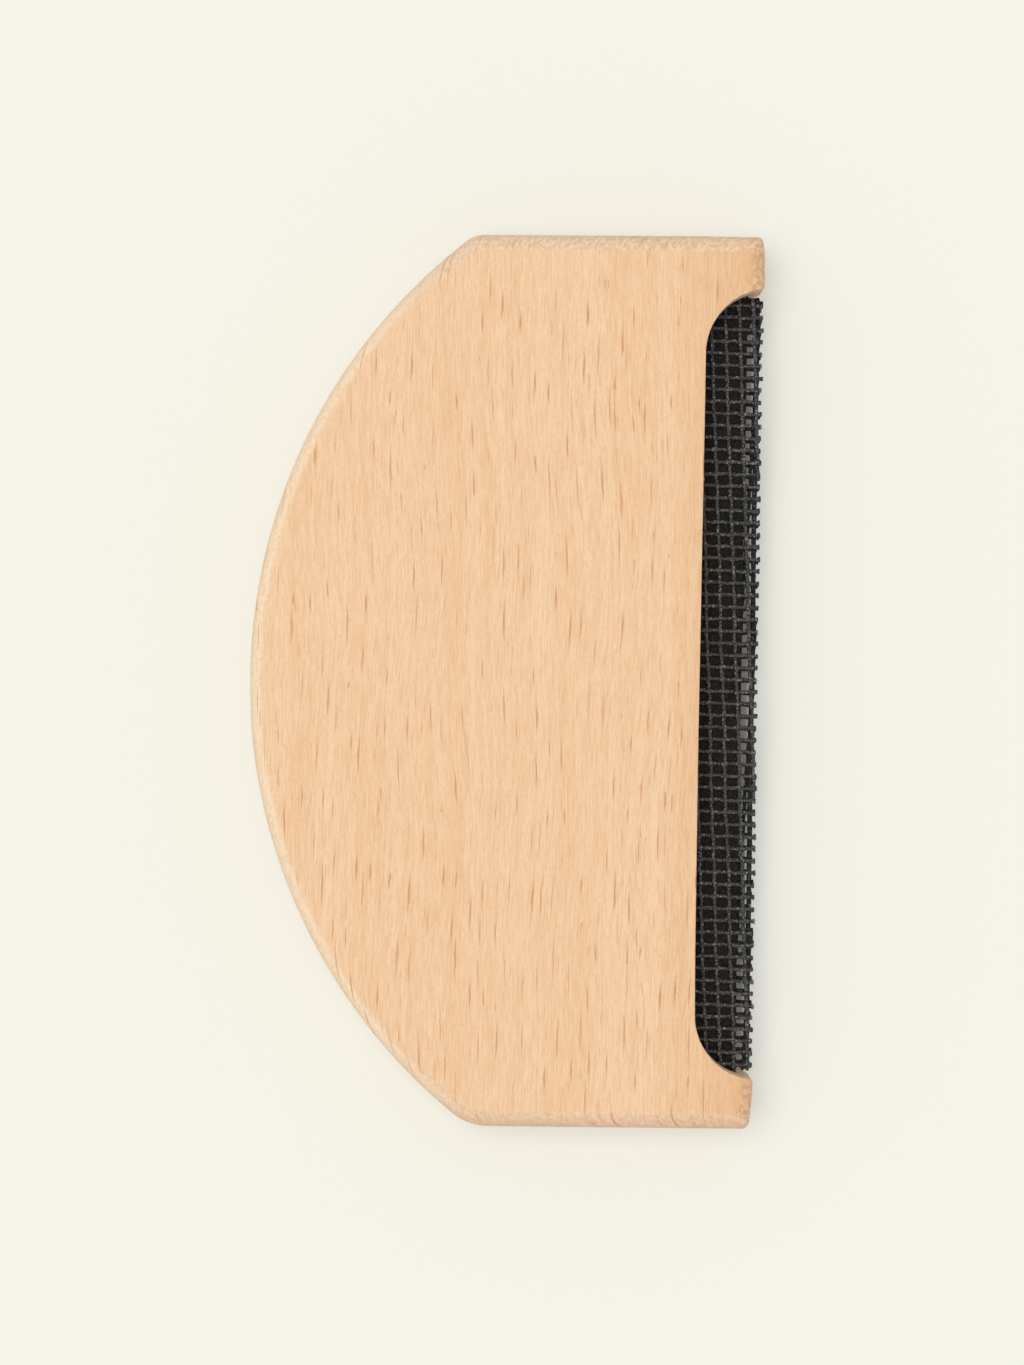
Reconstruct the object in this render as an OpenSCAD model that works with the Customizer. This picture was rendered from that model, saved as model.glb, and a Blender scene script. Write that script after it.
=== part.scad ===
// Sweater comb: a beech block with an arched back, and a strip of insect screen glued in its notch
// The comb lies flat. X runs from the arched back to the horn tips, Y along the grain, and Z is the thickness.
// The origin is below the middle of the body, on the face that it lies on.

/* [Body] */
// Length of the body along the grain
body_length = 103.7; // [100:0.1:125]
// Width from the middle of the arched back to the horn tips
body_width = 59.1; // [52:0.1:70]
// Thickness of the body
body_thickness = 12; // [11:0.5:18]
// Radius of the arched back
back_radius = 65.1; // [64:0.1:90]
// Round-over along the outer edges
edge_round = 2.1; // [1:0.1:3.5]
// Plan radius where the back meets an end
shoulder_round = 5; // [4.5:0.5:9]
// Plan radius of a horn's outer corner
horn_round = 1; // [0.5:0.1:2]

/* [Notch] */
// Length of the notch between the horns
notch_length = 90.9; // [80:0.1:94]
// Depth of the notch, from the horn tips to its floor
notch_depth = 6.9; // [6.5:0.1:9]
// Plan radius of the notch's corners
notch_round = 7; // [6:0.1:9]
// Plan radius of a horn's inner corner
mouth_round = 0.5; // [0.3:0.1:1]

/* [Groove] */
// Depth of the groove behind the notch's floor
groove_depth = 6; // [4:0.5:10]
// Film of adhesive on each side of the strips
glue_film = 0.1; // [0.05:0.05:0.3]
// Adhesive left between the strips' tails and the bottom of the groove
glue_bed = 1; // [0.5:0.1:2]
// How far the adhesive stops short of the notch's wall
glue_setback = 0.3; // [0.1:0.1:1]

/* [Strips] */
// Length of the mesh and core strips
strip_length = 90.1; // [70:0.1:90.6]
// How far the core reaches past the notch's floor
core_reach = 5.2; // [3:0.1:6]
// Thickness of the core
core_thickness = 1; // [0.6:0.1:1.6]

/* [Mesh] */
// Threads to the inch across the strip
cross_threads_per_inch = 18; // [12:1:18]
// Threads to the inch along the strip
long_threads_per_inch = 16; // [12:1:16]
// Width of a coated thread
thread_width = 0.36; // [0.25:0.01:0.5]
// Height of a coated thread, half the thickness of the mesh
thread_height = 0.24; // [0.2:0.01:0.4]
// Gap between the notch's floor and the middle of the first thread along it
first_thread = 1.3; // [0.6:0.1:1.5]
// How far the mesh stops short of the horn tips
mesh_setback = 0; // [0:0.1:0.5]

/* [Hidden] */

inch = 25.4;
curve_steps = 96;
past = 5; // how far a cut runs past the face that it opens
shoulder_slack = 0.01; // the shoulder's arc is this much wider, so that it crosses its neighbours cleanly

tip_x = body_width / 2;
back_x = -body_width / 2;
end_y = body_length / 2;
floor_x = tip_x - notch_depth;
mid_z = body_thickness / 2;

back_centre_x = back_x + back_radius;
shoulder_y = end_y - shoulder_round;
shoulder_x = back_centre_x - sqrt(pow(back_radius - shoulder_round, 2) - pow(shoulder_y, 2));
shoulder_angle = asin(shoulder_y / (back_radius - shoulder_round));

mesh_thickness = 2 * thread_height;
groove_height = core_thickness + 2 * mesh_thickness + 2 * glue_film;
groove_x = floor_x - groove_depth;
groove_end_y = strip_length / 2 + glue_film;
tail_x = groove_x + glue_bed;
mesh_tip_x = tip_x - mesh_setback;
tail_plate_x = floor_x - thread_width;

cross_pitch = inch / cross_threads_per_inch;
long_pitch = inch / long_threads_per_inch;
cross_count = floor((strip_length - thread_width) / cross_pitch) + 1;
long_count = floor((mesh_tip_x - floor_x - first_thread - thread_width / 2) / long_pitch) + 1;
cross_start_y = -(cross_count - 1) * cross_pitch / 2;

beech = [0.93, 0.77, 0.62];
coated_black = [0.17, 0.16, 0.15];
core_black = [0.1, 0.095, 0.09];
cured_glue = [0.86, 0.8, 0.66];

// The body's section from its middle out to one rounded edge
module rim_section(reach) {
    square([reach - edge_round, body_thickness]);
    translate([0, edge_round])
        square([reach, body_thickness - 2 * edge_round]);
    for (z = [edge_round, body_thickness - edge_round])
        translate([reach - edge_round, z])
            circle(r = edge_round, $fn = curve_steps);
}

// A round disc with the round-over, whose rim is the arched back
module back_limit() {
    translate([back_centre_x, 0, 0])
        rotate_extrude($fn = curve_steps)
            rim_section(back_radius);
}

// Everything between the two flat ends, with the round-over that runs along them
module end_limit() {
    translate([back_x - past, 0, 0])
        rotate([90, 0, 90])
            linear_extrude(body_width + 2 * past) {
                rim_section(end_y);
                mirror([1, 0])
                    rim_section(end_y);
            }
}

// Everything behind the horn tips, with the round-over that runs along them
module tip_limit() {
    translate([back_x - past, end_y + past, 0])
        rotate([90, 0, 0])
            linear_extrude(body_length + 2 * past)
                rim_section(body_width + past);
}

// The wood taken off where the back meets an end
module shoulder_waste() {
    wedge = 3 * shoulder_round;
    translate([shoulder_x, shoulder_y])
        difference() {
            polygon([
                [0, 0],
                [0, wedge],
                [-wedge / tan(shoulder_angle), wedge],
                [-wedge * cos(shoulder_angle), wedge * sin(shoulder_angle)],
            ]);
            circle(r = shoulder_round + shoulder_slack, $fn = curve_steps);
        }
}

// The wood taken off outside a horn's outer plan corner
module outer_corner_waste() {
    translate([tip_x - horn_round, end_y - horn_round])
        difference() {
            square(horn_round + past);
            circle(r = horn_round, $fn = curve_steps);
        }
}

// The wood taken off a horn's inner plan corner
module inner_corner_waste() {
    difference() {
        translate([tip_x - mouth_round, notch_length / 2 - past])
            square([mouth_round + past, mouth_round + past]);
        translate([tip_x - mouth_round, notch_length / 2 + mouth_round])
            circle(r = mouth_round, $fn = curve_steps);
    }
}

// Plan of the notch, grown into the wood by an even amount
module notch_plan(grow) {
    half = notch_length / 2 + grow;
    reach = past + notch_depth;
    corner = notch_round + grow;
    translate([floor_x - grow, -(half - corner)])
        square([reach, 2 * (half - corner)]);
    translate([floor_x - grow + corner, -half])
        square([reach, 2 * half]);
    for (side = [-1, 1])
        translate([floor_x - grow + corner, side * (half - corner)])
            circle(r = corner, $fn = curve_steps);
}

// Plan of all that is cut away through the whole thickness
module cut_plan() {
    notch_plan(0);
    for (side = [0, 1])
        mirror([0, side]) {
            shoulder_waste();
            outer_corner_waste();
            inner_corner_waste();
        }
}

// A flat plate of the strips' stack, from one X to another
module strip_plate(from_x, to_x, half_y, bottom_z, height) {
    translate([from_x, -half_y, bottom_z])
        cube([to_x - from_x, 2 * half_y, height]);
}

module beech_body() {
    color(beech)
        difference() {
            intersection() {
                back_limit();
                end_limit();
                tip_limit();
            }
            translate([0, 0, -past])
                linear_extrude(body_thickness + 2 * past)
                    cut_plan();
            strip_plate(groove_x, tip_x + past, groove_end_y, mid_z - groove_height / 2, groove_height);
        }
}

// One cut strip of screen: threads along it against the core, and the threads that cross it outside them
module mesh_strip() {
    half_y = strip_length / 2;
    strip_plate(tail_x, tail_plate_x, half_y, 0, mesh_thickness);
    for (i = [0 : long_count - 1])
        translate([floor_x + first_thread + i * long_pitch - thread_width / 2, -half_y, 0])
            cube([thread_width, 2 * half_y, thread_height]);
    for (i = [0 : cross_count - 1])
        translate([tail_plate_x, cross_start_y + i * cross_pitch - thread_width / 2, thread_height])
            cube([mesh_tip_x - tail_plate_x, thread_width, thread_height]);
}

module front_mesh() {
    color(coated_black)
        translate([0, 0, mid_z + core_thickness / 2])
            mesh_strip();
}

module rear_mesh() {
    color(coated_black)
        translate([0, 0, mid_z - core_thickness / 2])
            mirror([0, 0, 1])
                mesh_strip();
}

module core_strip() {
    color(core_black)
        strip_plate(tail_x, floor_x + core_reach, strip_length / 2, mid_z - core_thickness / 2, core_thickness);
}

// The adhesive fills what the strips leave of the groove, and stops just inside the notch's wall
module adhesive_bed() {
    strips_height = core_thickness + 2 * mesh_thickness;
    color(cured_glue)
        difference() {
            strip_plate(groove_x, tip_x, groove_end_y, mid_z - groove_height / 2, groove_height);
            translate([0, 0, -past])
                linear_extrude(body_thickness + 2 * past)
                    notch_plan(glue_setback);
            strip_plate(tail_x, tip_x + past, strip_length / 2, mid_z - strips_height / 2, strips_height);
        }
}

beech_body();
front_mesh();
rear_mesh();
core_strip();
adhesive_bed();
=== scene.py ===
import math
import random

import bmesh
import bpy
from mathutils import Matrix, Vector, noise


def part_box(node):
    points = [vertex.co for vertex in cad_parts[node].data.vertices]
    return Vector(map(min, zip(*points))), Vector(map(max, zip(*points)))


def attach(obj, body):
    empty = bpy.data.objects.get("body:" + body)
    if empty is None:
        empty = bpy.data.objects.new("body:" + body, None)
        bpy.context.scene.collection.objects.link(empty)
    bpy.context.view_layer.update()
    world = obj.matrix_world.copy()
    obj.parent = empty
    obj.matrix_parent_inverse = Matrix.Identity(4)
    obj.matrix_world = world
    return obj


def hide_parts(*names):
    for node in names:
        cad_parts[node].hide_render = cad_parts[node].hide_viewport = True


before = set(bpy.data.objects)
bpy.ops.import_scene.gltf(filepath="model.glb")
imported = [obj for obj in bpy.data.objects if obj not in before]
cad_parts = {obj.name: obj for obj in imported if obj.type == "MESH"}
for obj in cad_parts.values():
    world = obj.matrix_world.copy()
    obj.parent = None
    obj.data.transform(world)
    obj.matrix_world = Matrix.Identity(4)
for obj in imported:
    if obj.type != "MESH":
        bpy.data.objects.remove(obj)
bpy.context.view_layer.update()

MM = 0.001
INCH = 25.4 * MM
QUARTER_TURN = math.pi / 2

# What the frame says of the pieces, in metres. Upper and lower are as in the photograph: +Y and -Y
body_low, body_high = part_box("beech_body")
front_low, front_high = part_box("front_mesh")
core_low, core_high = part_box("core_strip")
glue_low, glue_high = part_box("adhesive_bed")
THICKNESS = body_high[2] - body_low[2]
TIP_X = body_high[0]
BACK_X = body_low[0]
END_Y = body_high[1]

# The block, with an arched back, two flat ends and a round-over along its whole outline
BACK_RADIUS = 65.1 * MM
BACK_SHIFT = 0.3 * MM
EDGE_ROUND = 2.1 * MM
UPPER_SHOULDER = 3.4 * MM
LOWER_SHOULDER = 6.7 * MM
UPPER_HORN_CORNER = 0.55 * MM
LOWER_HORN_CORNER = 0.85 * MM
CORNER_STEPS = 8
SHOULDER_STEPS = 12
BACK_STEPS = 150
ROUND_STEPS = 10
OUTLINE_SPACING = 1.2 * MM
SHARP_ANGLE = math.radians(28)
NORMAL_WEIGHT = 100
MERGE_DISTANCE = 0.002 * MM

# What hand work changes on it. A pair says where a change starts and where it is complete
TILT_MIDDLE_X = 12 * MM
TILT_POWER = 4
UPPER_END_TILT = 0.0088
LOWER_END_TILT = 0.004
UPPER_END_DROP = 0.07 * MM
LOWER_END_DROP = 0.03 * MM
HORN_FALL = 0.08 * MM
HORN_FALL_X = (21 * MM, 29 * MM)
BACK_FULLNESS = 0.1 * MM
FULLNESS_X = (5 * MM, -15 * MM)
FULLNESS_Y = (0.0, -8 * MM)
HORN_TAPER_X = (24 * MM, 29 * MM)
UPPER_HORN_TAPER = 0.3 * MM
UPPER_TAPER_LENGTH = 3.4 * MM
UPPER_TAPER_POWER = 2
LOWER_HORN_TAPER = 0.45 * MM
LOWER_TAPER_LENGTH = 5.5 * MM
LOWER_TAPER_POWER = 1.2

# The notch, whose floor is a little shallower above its middle and deeper below it
NOTCH_DEPTH = 6.9 * MM
FLOOR_X = TIP_X - NOTCH_DEPTH
NOTCH_UPPER_END = 45.78 * MM
NOTCH_LOWER_END = 45.9 * MM
UPPER_NOTCH_CORNER = 7.6 * MM
LOWER_NOTCH_CORNER = 7.4 * MM
UPPER_MOUTH_CORNER = 0.38 * MM
LOWER_MOUTH_CORNER = 0.6 * MM
MOUTH_STEPS = 6
NOTCH_CORNER_STEPS = 28
NOTCH_FLOOR_STEPS = 24
SHALLOWER = 0.12 * MM
SHALLOWER_Y = (8 * MM, 38 * MM)
DEEPER = 0.09 * MM
DEEPER_START_Y = (12 * MM, -8 * MM)
DEEPER_END_Y = (-42 * MM, -30 * MM)
NOTCH_EASE = 0.16 * MM
MOUTH_EASE = 0.34 * MM
MOUTH_EASE_X = (FLOOR_X + 2.6 * MM, FLOOR_X + 6.2 * MM)
EASE_STEPS = 4
NOTCH_CUT_PAST = 4 * MM
MOUTH_CUT_PAST = 0.3 * MM
MOUTH_JOIN = 0.1 * MM
FACE_CUT_PAST = 1 * MM
GROOVE_CUT_PAST = 2 * MM

# The screen: 18 threads to the inch across the strip and 16 along it, a little stretched
CROSS_PITCH = INCH / 18
REAR_PITCH = 0.9977 * CROSS_PITCH
LONG_PITCH = 1.027 * INCH / 16
SCREEN_TILT = math.radians(2.54)
FRONT_ROW_TILT = math.radians(1.15)
REAR_ROW_TILT = math.radians(1.0)
FRONT_ROW_PLACE = (24.64 * MM, 37.165 * MM)
REAR_ROW_PLACE = (24.64 * MM, 36.895 * MM)
FRONT_COLUMN_X = 23.85 * MM
REAR_COLUMN_X = 24.09 * MM
FRONT_SEED = 3
REAR_SEED = 11

# A thread: its section, the weave, and how uneven it is. A sway is a wave's length and its size, and
# its offset keeps it out of step with the others
THREAD_SIDES = 8
THREAD_HALF_WIDTH = 0.213 * MM
THREAD_HALF_HEIGHT = 0.13 * MM
THREAD_CLEARANCE = 0.01 * MM
STEPS_PER_PITCH = 8
WEAVE_RISE = 0.1 * MM
WEAVE_SWAY = 0.04 * MM
POOLING = 0.34
POOLING_POWER = 4
UNEVENNESS = 0.09
ROW_SWAY = (6 * MM, 0.06 * MM)
COLUMN_SWAY = (9 * MM, 0.12 * MM)
COLUMN_SWAY_OFFSET = 1
CUT_SWAY = (12 * MM, 0.08 * MM)
CUT_SWAY_OFFSET = 0.3
STRIP_END_SWAY = (4 * MM, 0.05 * MM)
SWAY_SEED_STEP = 7.3

# Where the screen is cut, and the stubs, hairs and bead of coating along the cut. What scatter() takes,
# the two scatters and a hair's length and root, is in millimetres
SCREEN_EDGE_X = TIP_X + 0.07 * MM
STRIP_EXTRA = 0.17 * MM
LOW_EXTRA = 0.28 * MM
LOW_CROWDING = 0.13 * MM
CROWDING_Y = (-36 * MM, -43 * MM)
REAR_SLIP = 0.4 * MM
SLIP_Y = (3.5 * MM, -30.5 * MM)
SPARE_ROWS = 2
SPARE_COLUMNS = 5
END_ROW = 6
END_ROW_SHIFT = -0.74 * MM
STUB_SCATTER = (-0.12, 0.08)
REAR_SHORTFALL = 0.4 * MM
STUB_PLACES = (0.0, 0.035 * MM, 0.1 * MM, 0.2 * MM, 0.32 * MM)
STUB_WIDTHS = (0.62, 1.12, 1.36, 1.34, 1.12)
STUB_HEIGHTS = (0.6, 1.05, 1.25, 1.2, 1.05)
PALE_STUB_CHANCE = 0.16
PALE_STUB = 0.85
WHITENESS_FADE = 0.3
COLUMN_SCATTER = (-0.1, 0.25)
COLUMN_MARGIN = 0.3 * MM
COLUMN_ENDS = (0.62, 0.9)
FEWEST_COLUMN_POINTS = 5
FILAMENT_CHANCE = 0.2
FILAMENT_RADIUS = 0.024 * MM
FILAMENT_LENGTH = (0.2, 0.5)
FILAMENT_HEADING = 1.0
FILAMENT_CURL = 1.3
FILAMENT_CLIMB = (-0.3, 0.5)
FILAMENT_ROOT = 0.1
FILAMENT_STEPS = 7
FILAMENT_WHITENESS = 0.7
BEAD_X = 28.98 * MM
BEAD_HALF_WIDTH = 0.3 * MM
BEAD_HALF_HEIGHT = 0.9 * THREAD_HALF_HEIGHT
BEAD_DEPTH = 0.5 * WEAVE_RISE
BEAD_ENDS = (0.6, 0.9)
BEAD_STEPS_PER_PITCH = 6
BEAD_SWAY = (5 * MM, 0.07 * MM)
BEAD_SWAY_OFFSET = 0.9

# The core's hand-cut outer edge, a little wider at its upper end
CORE_EASE = 0.06 * MM
CORE_STEPS = 60
CORE_SETBACK = 0.18 * MM
CORE_LEAN = 0.1 * MM
CORE_LEAN_Y = (5 * MM, 37 * MM)
CORE_FLARE = 1.05 * MM
CORE_FLARE_Y = (41 * MM, 43.6 * MM)
CORE_SWAY = (14 * MM, 0.1 * MM)
CORE_SWAY_SEED = 2.7

# The photograph's camera, straight above the comb and turned a little
PICTURE = (1024, 1365)
CAMERA_HEIGHT = 540 * MM
CAMERA_CENTRE = (0.875 * MM, -0.305 * MM)
CAMERA_TURN = math.radians(0.85)
CAMERA_CLIP = 0.01
SCALE_HEIGHT = 6.8 * MM
METRES_PER_PIXEL = 1.411 * MM / 12.07
SENSOR = 36

# Floor and light. The floor's paint and its glow together show the background's colour
BACKGROUND = (0.915, 0.915, 0.848)
GLOW_SHARE = 0.38
FLOOR_PAINT = (0.93, 0.92, 0.8)
FLOOR_GLOW = tuple((seen - (1 - GLOW_SHARE) * paint) / GLOW_SHARE
                   for seen, paint in zip(BACKGROUND, FLOOR_PAINT))
FLOOR_BOUNCE = (0.76, 0.75, 0.73)
FLOOR_REACH = 1.5
FLOOR_GAP = 0.02 * MM
AMBIENT = 0.6
KEY_WATTS = 32.6
KEY_PLACE = (-0.5, 0.15, 2.7)
KEY_SIZE = 1.6


# Node helpers

class Nodes:
    """The nodes of a material or of the world, with short calls for those that this script uses."""

    def __init__(self, owner, output="ShaderNodeOutputMaterial"):
        owner.use_nodes = True
        self.owner = owner
        self.tree = owner.node_tree
        self.tree.nodes.clear()
        self.output = self.tree.nodes.new(output)

    def add(self, kind, inputs=None, **settings):
        node = self.tree.nodes.new(kind)
        for key, value in settings.items():
            setattr(node, key, value)
        for key, value in (inputs or {}).items():
            self.put(value, node.inputs[key])
        return node

    def put(self, value, socket):
        if isinstance(value, bpy.types.NodeSocket):
            self.tree.links.new(value, socket)
        else:
            socket.default_value = value

    def math(self, operation, *values, clamp=False):
        inputs = dict(enumerate(values))
        return self.add("ShaderNodeMath", inputs, operation=operation, use_clamp=clamp).outputs[0]

    def span(self, value, reach, share=(0.0, 1.0)):
        """A smooth step: share[0] where value is at reach[0], and share[1] where it is at reach[1]."""
        inputs = {"Value": value, "From Min": reach[0], "From Max": reach[1],
                  "To Min": share[0], "To Max": share[1]}
        node = self.add("ShaderNodeMapRange", inputs, interpolation_type="SMOOTHSTEP")
        return node.outputs["Result"]

    def mix(self, amount, first, second, blend="MIX"):
        """Two colours mixed, which are the node's sockets 6 and 7."""
        node = self.add("ShaderNodeMix", data_type="RGBA", blend_type=blend)
        for key, value in ((0, amount), (6, first), (7, second)):
            if isinstance(value, tuple) and len(value) == 3:
                value = (*value, 1)
            self.put(value, node.inputs[key])
        return node.outputs[2]

    def layer(self, base, colour, cover, share, blend="MIX"):
        """The base under a colour that takes this share of it where its cover is full."""
        return self.mix(self.math("MULTIPLY", cover, share), base, colour, blend)

    def vector(self, x, y, z):
        return self.add("ShaderNodeCombineXYZ", {"X": x, "Y": y, "Z": z}).outputs[0]

    def split(self, vector):
        return self.add("ShaderNodeSeparateXYZ", {0: vector}).outputs

    def noise(self, place, per_mm, detail, roughness):
        """Noise at a place in millimetres, with its waves to the millimetre along each of its axes."""
        scaled = [self.math("MULTIPLY", part, waves) for part, waves in zip(place, per_mm)]
        inputs = {"Vector": self.vector(*scaled), "Scale": 1.0, "Detail": detail,
                  "Roughness": roughness, "Distortion": 0.0}
        return self.add("ShaderNodeTexNoise", inputs).outputs["Fac"]

    def cells(self, vector, per_mm):
        inputs = {"Vector": vector, "Scale": per_mm, "Randomness": 1.0}
        return self.add("ShaderNodeTexVoronoi", inputs).outputs

    def millimetres(self):
        place = self.add("ShaderNodeTexCoord").outputs["Object"]
        scaled = self.add("ShaderNodeVectorMath", {0: place, 3: 1 / MM}, operation="SCALE").outputs[0]
        return tuple(self.split(scaled))

    def bump(self, height, distance, strength):
        inputs = {"Strength": strength, "Distance": distance, "Height": height}
        return self.add("ShaderNodeBump", inputs).outputs[0]

    def diffuse(self, colour):
        return self.add("ShaderNodeBsdfDiffuse", {"Color": (*colour, 1), "Roughness": 1.0}).outputs[0]

    def glossy_paint(self, colour, normal, roughness, specular, **others):
        inputs = {"Base Color": colour, "Normal": normal, "Roughness": roughness,
                  "Specular IOR Level": specular, **others}
        return self.add("ShaderNodeBsdfPrincipled", inputs).outputs[0]

    def mix_shaders(self, amount, first, second):
        return self.add("ShaderNodeMixShader", {0: amount, 1: first, 2: second}).outputs[0]

    def seen(self):
        """1 where a ray comes from the camera, straight or by way of gloss or glass, and otherwise 0."""
        path = self.add("ShaderNodeLightPath").outputs
        direct = self.math("MAXIMUM", path["Is Camera Ray"], path["Is Glossy Ray"])
        return self.math("MAXIMUM", direct, path["Is Transmission Ray"])

    def surface(self, shader):
        self.tree.links.new(shader, self.output.inputs["Surface"])
        return self.owner


def material_nodes(name):
    return Nodes(bpy.data.materials.new(name))


def srgb(red, green, blue):
    """A colour written 0 to 255 as it shows, as the linear values that a shader takes."""
    def linear(value):
        value /= 255
        return value / 12.92 if value <= 0.04045 else ((value + 0.055) / 1.055) ** 2.4
    return (linear(red), linear(green), linear(blue))


# Beech. Its places are in millimetres, and a noise says its waves to the millimetre across the fibres,
# along them and out along a ray, its detail and its roughness. Flatness is how far a face looks up or
# down, and endness how far it looks along the grain: 1 where it does so squarely

RAY_TILT = math.radians(47)
GRAIN_WANDER = 2.5
WANDER_NOISE = ((0.05, 0.022, 0.05), 1.0, 0.5)
RING_NOISE = ((0.42, 0.006, 0.0), 3.0, 0.6)
WOOD_NOISES = {
    "streaks": ((1.8, 0.05, 1.8), 3.0, 0.6),
    "fibres": ((4.6, 0.15, 4.6), 2.0, 0.6),
    "pores": ((6.3, 0.38, 6.3), 1.0, 0.5),
    "short_pores": ((7.5, 1.6, 7.5), 0.0, 0.5),
    "ragged": ((1.0, 0.8, 1.0), 2.0, 0.6),
    "patches": ((2.6, 1.7, 1.6), 2.0, 0.6),
    "mottle": ((3.4, 2.0, 0.7), 3.0, 0.65),
}

# A sawn face, from the bottom up: a layer's noise, where it starts and where it is full, colour and share
DEEP_WOOD = srgb(239, 196, 151)
LIGHT_WOOD = srgb(244, 206, 165)
RING_SPAN = (0.3, 0.7)
SAWN_LAYERS = (
    ("streaks", (0.35, 0.75), srgb(247, 212, 174), 0.6),
    ("fibres", (0.48, 0.72), srgb(229, 180, 134), 0.32),
    ("pores", (0.48, 0.68), srgb(224, 173, 127), 0.31),
    ("pores", (0.5, 0.3), srgb(252, 222, 187), 0.26),
    ("short_pores", (0.5, 0.75), srgb(227, 176, 128), 0.32),
)
# Darker towards the horn tips
TIP_DARKENING = srgb(238, 218, 196)
TIP_DARKENING_X = (16, 29)
TIP_DARKENING_SHARE = 0.5

# Painted highlight: the rounded edge along the arched back is made paler, most towards the back, as if lit
# from that side
RIM_HIGHLIGHT = srgb(255, 230, 196)
RIM_FLATNESS = (0.998, 0.84)
RIM_X = (22, 0)
RIM_SHARE = (0.05, 0.9)
RIM_Y = (-51.5, -48.5)

TURNED_FLATNESS = (0.995, 0.93)
TURNED_X = (12, 26)
TURNED_SHARE = (0.25, 0.9)
TURNED_PATCHES = (((0.48, 0.62), srgb(215, 168, 127)), ((0.46, 0.3), srgb(244, 207, 170)))

DARK_END_GRAIN = srgb(222, 183, 148)
LIGHT_END_GRAIN = srgb(245, 216, 187)
MOTTLE_SPAN = (0.34, 0.68)
END_RAGGEDNESS = 0.34
END_SPAN = (0.03, 0.2)
END_GRAIN_X = (-16, -2)
END_GRAIN_X_SHARE = (0.15, 1.0)
END_GRAIN_Y = (-10, 10)
END_GRAIN_Y_SHARE = (0.62, 0.85)

# The rays' ends: cells, each with one spindle of a chance half width and half length
RAGGEDNESS = 0.2
STRONG_FLECKS = {"cell": (1.4, 8.0, 14.0), "half_width": (0.05, 0.11), "half_length": (1.4, 3.9),
                 "present": 0.9, "soft": 0.09}
FAINT_FLECKS = {"cell": (0.7, 4.4, 9.0), "half_width": (0.02, 0.065), "half_length": (0.7, 2.2),
                "present": 0.85, "soft": 0.1}
STRONG_FLECK = srgb(198, 130, 84)
STRONG_SHARE = 0.7
FAINT_FLECK = srgb(206, 144, 99)
FAINT_SHARE = 0.5
FLECK_POINTEDNESS = 1.4
FLECK_OVERLAP = 0.25
FLECK_TIP_FADE = 0.5
FLECK_FADE = 0.3

# Painted shade on the notch's cut wall, which faces away from the light
PAINTED_WALL_SHADE = srgb(150, 128, 108)
PAINTED_WALL_SHADE_SHARE = 0.5
NOTCH_WALL_X = (22, 22.5)
NOTCH_MOUTH_X = (27.8, 25.0)
NOTCH_WALL_Y = (46.3, 46.0)
UPRIGHT_FLATNESS = (0.5, 0.2)

FIBRE_RELIEF = 0.5
PORE_RELIEF = 0.5
FLECK_RELIEF = 0.6
BEECH_BUMP = (0.03 * MM, 0.7)


def ray_flecks(nodes, place, ragged, cell, half_width, half_length, present, soft):
    """Spindle-shaped ray ends: one in most cells, long along the grain and deep along the ray."""
    scaled = nodes.vector(*(nodes.math("DIVIDE", part, size) for part, size in zip(place, cell)))
    cells = nodes.cells(scaled, 1.0)
    offset = nodes.add("ShaderNodeVectorMath", {0: scaled, 1: cells["Position"]}, operation="SUBTRACT")
    offset = nodes.split(offset.outputs[0])
    chance = nodes.split(cells["Color"])
    width = nodes.math("MULTIPLY_ADD", chance[0], half_width[1] - half_width[0], half_width[0])
    length = nodes.math("MULTIPLY_ADD", chance[1], half_length[1] - half_length[0], half_length[0])
    side = nodes.math("ABSOLUTE", nodes.math("MULTIPLY_ADD", offset[0], cell[0], ragged))
    reach = nodes.math("DIVIDE", nodes.math("MULTIPLY", offset[1], cell[1]), length)
    taper = nodes.math("SUBTRACT", 1.0, nodes.math("MULTIPLY", reach, reach), clamp=True)
    taper = nodes.math("POWER", taper, FLECK_POINTEDNESS)
    inside = nodes.math("SUBTRACT", nodes.math("MULTIPLY", width, taper), side)
    mask = nodes.math("MULTIPLY_ADD", inside, 1 / soft, FLECK_OVERLAP, clamp=True)
    mask = nodes.math("MULTIPLY", mask, nodes.math("POWER", taper, FLECK_TIP_FADE))
    strength = nodes.span(chance[2], (1 - present, 1 + FLECK_FADE - present))
    return nodes.math("MULTIPLY", mask, strength)


def wood_place(nodes, x, y, z):
    """The place across the fibres, along them and out along a ray, as the grain slowly wanders."""
    drift = nodes.noise((x, y, z), *WANDER_NOISE)
    x = nodes.math("ADD", x, nodes.math("MULTIPLY_ADD", drift, 2 * GRAIN_WANDER, -GRAIN_WANDER))
    sine, cosine = math.sin(RAY_TILT), math.cos(RAY_TILT)
    across = nodes.math("ADD", nodes.math("MULTIPLY", x, sine), nodes.math("MULTIPLY", z, cosine))
    radial = nodes.math("SUBTRACT", nodes.math("MULTIPLY", x, cosine), nodes.math("MULTIPLY", z, sine))
    return across, y, radial


def sawn_face(nodes, place, noises, x):
    """The wood's colour along the grain, a little deeper towards the horn tips."""
    across, along, radial = place
    rings = nodes.noise((radial, along, across), *RING_NOISE)
    base = nodes.mix(nodes.span(rings, RING_SPAN), DEEP_WOOD, LIGHT_WOOD)
    for name, reach, colour, share in SAWN_LAYERS:
        base = nodes.layer(base, colour, nodes.span(noises[name], reach), share)
    return nodes.layer(base, TIP_DARKENING, nodes.span(x, TIP_DARKENING_X), TIP_DARKENING_SHARE, "MULTIPLY")


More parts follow.
